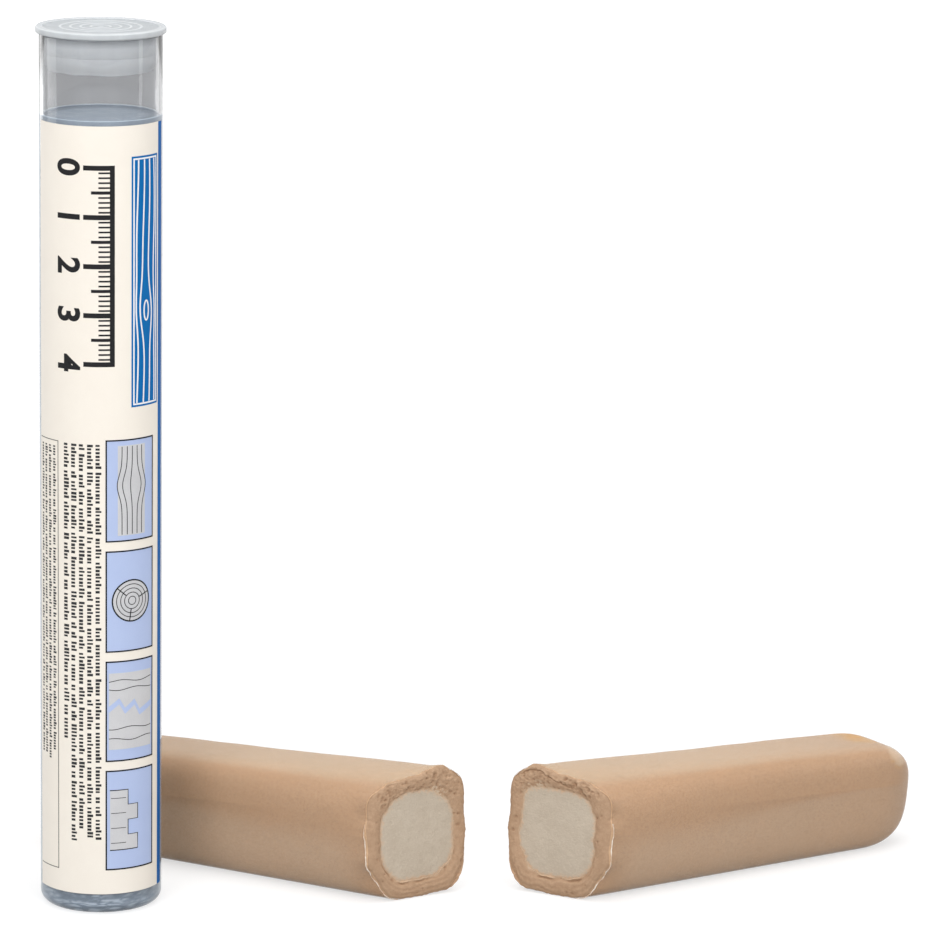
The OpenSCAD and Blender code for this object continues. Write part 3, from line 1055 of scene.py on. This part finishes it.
def swellings(t, bumps):
    """Sum of bumps round the section, each given as (angle, spread, height)."""
    return sum(height * swelling(t, angle, spread) for angle, spread, height in bumps)


def torn_outline(t, seed):
    """How far the outline stands out at the cut, with finer unevenness on top."""
    return layers(circle(t), seed, (0.22, 0.16), (0.12, 0.06)) + swellings(t, TORN_BUMPS)


def over_crease(ring):
    """Height of each point over the ridge on the near side."""
    return ring[:, 2] - CREASE_Z + CREASE_FALL * (ring[:, 0] - CREASE_X)


def near_side(ring, start, full):
    """Share of the near side, which grows from start to full along the half and ends at the rear."""
    x, u, z = ring.T
    return smooth_step(-u, 3.0, 6.0) * between(x, start, full, 80, 88)


def dents(ring, behind, t, seed):
    """How far the soft surface bulges at points of the outer section, so far behind the cut."""
    swell = layers(ring, seed, (0.14, 19), (0.05, 7), (0.02, 2.6))
    swell += 0.30 * near_side(ring, 14, 50) * np.exp(-np.abs(over_crease(ring)) / 3.5)
    torn = torn_outline(t, seed + 3) * np.exp(-((behind / TORN_REACH) ** 1.5))
    held = smooth_step(ring[:, 2], 0.2, 3.0)
    return swell * held + np.where(torn < 0, torn, torn * held)


def loose_share(ring):
    """Share of painted sheen low on the near side: up to the ridge, lower near the cut."""
    x = ring[:, 0]
    front = 1 - smooth_step(x, 5, 75)
    start = smooth_step(-over_crease(ring) - 4.5 * front, -0.1 - 3 * front, 0.5 + 5 * front)
    return near_side(ring, 4, 14) * start * (1 - 0.35 * smooth_step(x, 45, 80))


def flap_distance(x, t):
    """Distance from the middle of the film's flap, a lens that ends where it is 1."""
    return ((x - FLAP_ALONG[0]) / FLAP_ALONG[1]) ** 2 + ((t - FLAP_ROUND[0]) / FLAP_ROUND[1]) ** 2


def fold_share(x, t, ring, seed):
    """Share of amber where the film is folded over at the rear end's top, and of painted shade in a line
    below the flap.
    """
    cloud = 1.0 + 0.6 * lumps(ring, 2.5, seed)
    top = math.exp(-(((x - AMBER_ALONG[0]) / AMBER_ALONG[1]) ** 2))
    top = top * smooth_step(ring[:, 1], -6.0, -1.0) * smooth_step(np.sin(t), 0.5, 0.85)
    # Painted shade in a line below the flap's lower edge
    under = np.exp(-(((flap_distance(x, t) - 1.08) / 0.12) ** 2))
    under = under * smooth_step(t, FLAP_ROUND[0], FLAP_ROUND[0] + 0.08)
    return np.clip(top * cloud + 0.35 * under, 0, 1)


def film_near(t, fade):
    """Share of the near side, where the film's cut edge shows, with so many degrees of fade."""
    low, high = FILM_NEAR
    return between(np.degrees(t), low - fade, low, high, high + fade)


def body_rows(t, inset, seed, film=False):
    """Rows of points from the cut edge to the rear pole, with the soft surface's dents.

    The inset is full at the near side of the cut and thins out elsewhere.
    Shares at each point come with them: of the amber fold with painted shade below the flap, of the
    flap, of the painted sheen low on the near side and of the painted highlight on the flat top.
    """
    straight = HALF_LEN - FILM_THIN * inset - REAR_ROUND
    upper = smooth_step(np.sin(t), 0.0, 0.6)
    near = film_near(t, 14)
    edge_back = FILM_BACK if film else 0
    rows = []
    shares = []
    for x, q in stations(straight):
        slant = max(0, 1 - x / straight)
        depth = inset * (FILM_THIN + (1 - FILM_THIN) * math.exp(-x / 2.5) * near)
        outer = section(t, x, q, 0, 0, slant)
        row = section(t, x, q, depth, edge_back, slant)
        behind = x + edge_back * slant + 0 * t
        flap = smooth_step(1 - flap_distance(x, t), 0.0, 0.15)
        out = outward(outer)
        # Painted highlight on the parts that face up, less towards the rear
        top = smooth_step(out[:, 2], 0.78, 1.0) * (1 - 0.45 * smooth_step(outer[:, 0], 25, 85))
        shares.append(np.stack([fold_share(x, t, outer, seed + 5), flap, loose_share(outer), top]))
        if film:
            back = 0.05 - 0.25 * upper + 0.32 * (1 - 0.6 * upper) * lumps(outer, 2.2, seed + 8)
            back = back * math.exp(-x / 1.5)
            row[:, 0] += back
            push = dents(outer, np.maximum(0, behind + back), t, seed) + FLAP_PUSH * flap * q
            push += 0.03 * math.exp(-x / 0.5) * (1 + lumps(outer, 1.5, seed + 6))
        else:
            nick = np.maximum(0, lumps(outer, 1.1, seed + 7))
            push = dents(outer, behind, t, seed) - 0.35 * math.exp(-x / 0.7) * nick
        row = row + push[:, None] * out * min(1, 4 * q)
        row[:, 2] = np.maximum(row[:, 2], depth)
        rows.append(row)
    rows.append(np.array([[straight + REAR_ROUND, 0, MID_Z - REAR_DRAW_H / 2]]))
    shares.append(np.zeros((4, 1)))
    return rows, shares


def core_outline(side, t, seed, grow=0.0):
    """The core's wandering outline on the cut face as columns u and v."""
    share = 1 + layers(circle(t), seed, (0.03, 0.5), (0.03, 0.2), (0.012, 0.08))
    share += swellings(t, CORE_BUMPS[side])
    r = share * reach(t, CORE_FACES, CORE_SQUARENESS)
    u = (HALF_W / 2 - FILM_T - RIM_SIDE + grow) * r * np.cos(t)
    return u, (HALF_H / 2 - FILM_T - RIM_TOP + grow) * r * np.sin(t)


def on_cut(u, v, wave, depth):
    """Points on the cut face, depth behind its plane."""
    return columns(-u * CUT_SLOPE + wave + depth, u, MID_Z + v)


def sunk_rows(u, v, deep, steps):
    """Rows from an outline on the cut to a pole at deep, as (share of the way, scale)."""
    rows = []
    for share, q in steps:
        row = on_cut(q * u, q * v, 0, 0)
        row[:, 0] = row[:, 0] * (1 - share) + deep * share
        rows.append(row)
    return rows + [np.array([[deep, 0, MID_Z]])]


def pits(rng, t_from, t_to, count):
    """Small holes as (angle, share across the rim, radius, depth)."""
    made = []
    for _ in range(count):
        t = math.radians(rng.uniform(t_from, t_to))
        made.append((t, rng.uniform(0.1, 0.92), rng.uniform(0.14, 0.32), rng.uniform(0.1, 0.28)))
    return made


def rim_roughness(t):
    """How crumbly the torn rim is at each angle: most at its top."""
    return 0.20 + swellings(t, ((118, 24, 0.74), (62, 26, 0.45)))


def crack_rise(t, share, wander):
    """An open crack across the top of the rim, which starts at the outer edge."""
    angle = np.degrees(t)
    there = between(angle, 46, 56, 104, 116)
    far = share - 0.10 - 0.58 * (angle - 50) / 60 - 0.10 * wander
    outer = smooth_step(-far, 0.0, 0.04) * np.exp(np.minimum(far, 0) / 0.3)
    return there * (0.10 * outer - 0.30 * np.exp(-((far / 0.035) ** 2)))


def core_stain(t, share, flat, seed):
    """Share of pale crumbs of the core that are mixed into the rim, most at its upper corner."""
    bits = smooth_step(lumps(flat, 0.45, seed), 0.0, 0.2)
    corner = 0.75 * bits * swelling(t, 60, 16) * smooth_step(share, 0.6, 0.85)
    smear = 0.45 * smooth_step(share + 0.05 * lumps(flat, 0.8, seed + 1), 0.92, 1.0)
    return np.maximum(corner, smear)


def rim_rows(side, t, edge, seed, count=40):
    """Rows across the torn rim from the outer edge to the core, with their relief and stains."""
    rng = np.random.default_rng(seed)
    edge = columns(edge[:, 1], edge[:, 2] - MID_Z)
    inwards = columns(*core_outline(side, t, seed)) - edge
    holes = []
    for hole_t, share, radius, depth in pits(rng, 35, 145, 64) + pits(rng, 0, 360, 24):
        spot = np.argmin(np.abs(t - hole_t))
        holes.append((edge[spot] + inwards[spot] * share, radius, depth))
    lower = smooth_step(-np.sin(t), 0.2, 0.8)
    rough = rim_roughness(t)
    rows = []
    reliefs = []
    stains = []
    for k in range(1, count + 1):
        share = k / count
        place = edge + inwards * share
        flat = columns(*place.T, 0 * t)
        ridged = 1 - 2 * np.abs(lumps(flat, 1.9, seed + 1))
        crumbs = 2 * np.abs(lumps(flat, 0.8, seed + 2)) - 0.5
        rise = rough * (0.07 * ridged + 0.17 * crumbs)
        rise += (0.02 + 0.05 * rough) * lumps(flat, 0.36, seed + 3)
        if side == "right":
            rise += crack_rise(t, share, lumps(flat, 1.4, seed + 6))
        flow = np.sin(2 * math.pi * (3.4 * share + 0.7 * lumps(flat, 3.2, seed + 4)))
        groove = math.exp(-((share - 0.86) / 0.05) ** 2)
        curl = math.exp(-((share - 0.95) / 0.035) ** 2)
        patchy = smooth_step(lumps(flat, 3.0, seed + 5), -0.1, 0.35)
        rise += lower * (0.035 * flow + patchy * (0.20 * curl - 0.26 * groove))
        for middle, radius, depth in holes:
            rise -= depth * np.exp(-((place - middle) ** 2).sum(axis=1) / radius ** 2)
        crown = LIP * math.sin(math.pi * min(1, share * 1.05)) ** 0.7 if share < 0.95 else 0.06
        grow = min(1, share / 0.07)
        lift = grow * (crown + rise) - 0.08 * share
        rows.append(on_cut(*place.T, tear_wave(t) * (1 - 0.6 * share), -lift))
        reliefs.append(grow * rise)
        stains.append(core_stain(t, share, flat, seed + 7))
    return rows, reliefs, stains


def make_shell(side, t, seed, fine, place, materials):
    """Outer compound: smooth side, torn rim, and the pocket that the core fills."""
    rows, shares = body_rows(t, FILM_T + LAYER_GAP, seed)
    rim, reliefs, stains = rim_rows(side, t, rows[0], fine)
    u, v = core_outline(side, t, fine)
    pocket = [on_cut(u, v, 0.4 * tear_wave(t), d) for d in (0.7, 1.6)]
    steps = ((0.2, 0.98), (0.6, 0.94), (0.9, 0.85), (1.0, 0.6))
    pocket += sunk_rows(u, v, HALF_LEN - REAR_COVER, steps)
    points, faces = skin(rows[::-1] + rim + pocket)
    start = sum(len(row) for row in rows)
    end = start + len(rim) * len(t)
    slots = [int(min(face) >= start - len(t)) for face in faces]
    values = {key: np.zeros(len(points)) for key in ("relief", "stain", "fold_and_painted_shade", "crumb")}
    values["relief"][start:end] = np.concatenate(reliefs)
    values["stain"][start:end] = np.concatenate(stains)
    values["fold_and_painted_shade"][:start] = np.concatenate([share[0] for share in shares[::-1]])
    values["crumb"][start:end] = np.tile(rim_roughness(t), len(rim))
    return place_half(f"{side}_outer", points, faces, materials, side, place, slots, values)


def make_core(side, t, fine, place, material, count=34):
    """Inner compound, with a slightly uneven face a little behind the torn rim."""
    rows = []
    u, v = core_outline(side, t, fine, 0.02)
    deeper = 0.04 + 0.18 * smooth_step(-np.sin(t), 0.3, 0.8)
    for k in range(1, count + 1):
        share = k / count
        flat = columns(u * share, v * share, 0 * u)
        bump = layers(flat, fine + 20, (0.16, 5.0), (0.06, 1.3), (0.03, 0.5))
        sink = deeper * share ** 2 + 0.05 * smooth_step(share, 0.94, 1.0)
        rows.append(on_cut(u * share, v * share, 0.4 * tear_wave(t) * share ** 2, sink - bump * 0.8))
    pole = np.array([[rows[0][:, 0].mean(), 0, MID_Z]])
    steps = ((0.03, 0.985), (0.2, 0.96), (0.6, 0.92), (0.9, 0.82), (1.0, 0.55))
    points, faces = skin([pole] + rows + sunk_rows(u, v, HALF_LEN - REAR_COVER - 0.3, steps))
    edge = np.ones(len(points))
    edge[:1 + count * len(t)] = np.concatenate([[0], np.repeat(np.arange(1, count + 1) / count, len(t))])
    return place_half(f"{side}_inner", points, faces, [material], side, place, None, {"edge": edge})


def make_film(side, t, seed, place, materials):
    """Film over the outer compound, open at the cut, with a white edge on the near side."""
    outer, outer_shares = body_rows(t, 0, seed, film=True)
    inner, inner_shares = body_rows(t, FILM_T, seed, film=True)
    points, faces = skin(outer[::-1] + inner)
    n = len(t)
    outer_count = sum(len(row) for row in outer)
    near = film_near(t, 1) > 0.5
    slots = [0] * len(faces)
    for k, face in enumerate(faces):
        on_edge = min(face) >= outer_count - n and max(face) < outer_count + n
        if on_edge and near[(min(face) - 1) % n]:
            slots[k] = 1
    shares = np.concatenate(outer_shares[::-1] + inner_shares, axis=1)
    values = dict(zip(("fold_and_painted_shade", "flap", "painted_sheen", "top"), shares))
    return place_half(f"{side}_film_skin", points, faces, materials, side, place, slots, values)


def place_half(name, points, faces, materials, side, place, slots, values):
    """An object from points along a half. The left half is mirrored."""
    made = solid(name, points * (HALVES[side][0], 1, 1), faces, materials, slots, 50, values)
    made.matrix_world = place
    return made


def half_place(side):
    """Where a half lies: its cut face starts half the gap from the parting."""
    way, y, turn = HALVES[side]
    angle = math.radians(turn)
    face = HALF_W / 2 * (CUT_SLOPE * math.cos(angle) + math.sin(angle))
    x = PARTING_X + way * (PARTING_GAP / 2 + face)
    return Matrix.Translation((x * MM, y * MM, 0)) @ Matrix.Rotation(way * angle, 4, "Z")


def make_halves(skin_material, core_material):
    torn = putty_torn()
    film = [clear_film(), film_edge()]
    t = even_angles(SHELL_POINTS)
    film_t = even_angles(FILM_POINTS)
    for side, seed, fine in (("left", 31, 41), ("right", 31, 67)):
        place = half_place(side)
        shell = make_shell(side, t, seed, fine, place, [skin_material, torn])
        core = make_core(side, t, fine, place, core_material)
        cover = make_film(side, film_t, seed, place, film)
        for made, name, slot in (
            (shell, "shell", "outer_compound"),
            (core, "core", "core_compound"),
            (cover, "film", "clear_film"),
        ):
            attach(made, f"{side}_half")
            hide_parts(f"{side}_{name}")


# Stage, light and camera, in metres

FLOOR_HALF = 3.0
FLOOR_DROP = -0.03 * MM
AMBIENT = 0.36
AIM = Vector((0.08, 0.0, 0.08))
CAMERA_PLACE = Vector((0.075, -1.1, 0.335))
CAMERA_PITCH = 12.43
CAMERA_ROLL = 0.82
CAMERA_SENSOR = 36
CAMERA_LENS = 212.03


def seen_by_eye(tree):
    """1 for rays from the camera, and for those mirrored or passed on by clear parts."""
    path = node(tree, "ShaderNodeLightPath").outputs
    mirrored = maths("MAXIMUM", path["Is Camera Ray"], path["Is Glossy Ray"])
    return maths("MAXIMUM", mirrored, path["Is Transmission Ray"])


def make_floor():
    """Pale floor that shows white, and still takes the object's soft shadow."""
    mesh = bpy.data.meshes.new("floor")
    corners = rect(-FLOOR_HALF, -FLOOR_HALF, FLOOR_HALF, FLOOR_HALF)
    mesh.from_pydata([(x, y, FLOOR_DROP) for x, y in corners], [], [(0, 1, 2, 3)])
    material, tree, shader = start_material(
        "floor", Base_Color=(0.46, 0.46, 0.46, 1), Roughness=0.9, Specular_IOR_Level=0.0,
        Emission_Color=(1, 1, 1, 1)
    )
    away = node(tree, "ShaderNodeVectorMath", operation="LENGTH")
    give(away.inputs[0], places(tree))
    glow = ramp(away.outputs["Value"], 250, 1300, 0.61, 1.0)
    feed(shader, Emission_Strength=maths("MULTIPLY", glow, seen_by_eye(tree)))
    mesh.materials.append(material)
    floor = bpy.data.objects.new("floor", mesh)
    bpy.context.scene.collection.objects.link(floor)


def make_world():
    """Even soft light all round, seen as white."""
    world = bpy.data.worlds.new("studio")
    world.use_nodes = True
    tree = world.node_tree
    seen = maths("MULTIPLY", seen_by_eye(tree), 1 - AMBIENT)
    feed(tree.nodes["Background"], Color=(1, 1, 1, 1), Strength=maths("ADD", seen, AMBIENT))
    bpy.context.scene.world = world


def softbox(name, azimuth, elevation, far, wide, tall, radiance):
    """Area lamp round the object. Azimuth 0 is the camera's side, and 90 the right."""
    a = math.radians(azimuth)
    e = math.radians(elevation)
    way = Vector((math.sin(a) * math.cos(e), -math.cos(a) * math.cos(e), math.sin(e)))
    lamp = bpy.data.lights.new(name, "AREA")
    lamp.shape = "RECTANGLE"
    lamp.size = wide
    lamp.size_y = tall
    lamp.energy = radiance * math.pi * wide * tall
    made = bpy.data.objects.new(name, lamp)
    made.location = AIM + way * far
    made.rotation_euler = way.to_track_quat("Z", "Y").to_euler()
    bpy.context.scene.collection.objects.link(made)


def make_lamps():
    softbox("top_box", 0, 82, 1.15, 1.1, 0.9, 2.75)
    softbox("front_right_box", 24, 24, 1.3, 0.6, 0.8, 3.55)
    softbox("front_left_box", -24, 24, 1.3, 0.6, 0.8, 3.95)
    softbox("left_strip", -99, 8, 1.0, 0.44, 0.8, 1.5)
    softbox("left_rear_strip", -138, 8, 1.0, 0.30, 0.8, 1.5)
    softbox("right_strip", 82, 8, 1.0, 0.15, 0.8, 2.0)
    softbox("right_rear_strip", 136, 8, 1.0, 0.26, 0.8, 1.6)


def make_camera():
    fall = CAMERA_PLACE.y * math.tan(math.radians(CAMERA_PITCH))
    aim = Vector((CAMERA_PLACE.x, 0, CAMERA_PLACE.z + fall))
    look = (aim - CAMERA_PLACE).to_track_quat("-Z", "Y").to_matrix().to_4x4()
    roll = Matrix.Rotation(math.radians(CAMERA_ROLL), 4, "Z")
    camera = bpy.data.cameras.new("camera")
    camera.sensor_width = CAMERA_SENSOR
    camera.lens = CAMERA_LENS
    camera.clip_end = 20
    made = bpy.data.objects.new("camera", camera)
    made.matrix_world = Matrix.Translation(CAMERA_PLACE) @ look @ roll
    bpy.context.scene.collection.objects.link(made)
    bpy.context.scene.camera = made


make_camera()
make_world()
make_lamps()
make_floor()
PUTTY_SKIN = putty_skin()
CORE_MATERIAL = core_compound()
make_tube()
make_cap()
make_wrap()
make_stick_inside(PUTTY_SKIN, CORE_MATERIAL)
make_label()
make_halves(PUTTY_SKIN, CORE_MATERIAL)
bpy.context.scene.view_settings.view_transform = "Standard"

bpy.context.view_layer.update()
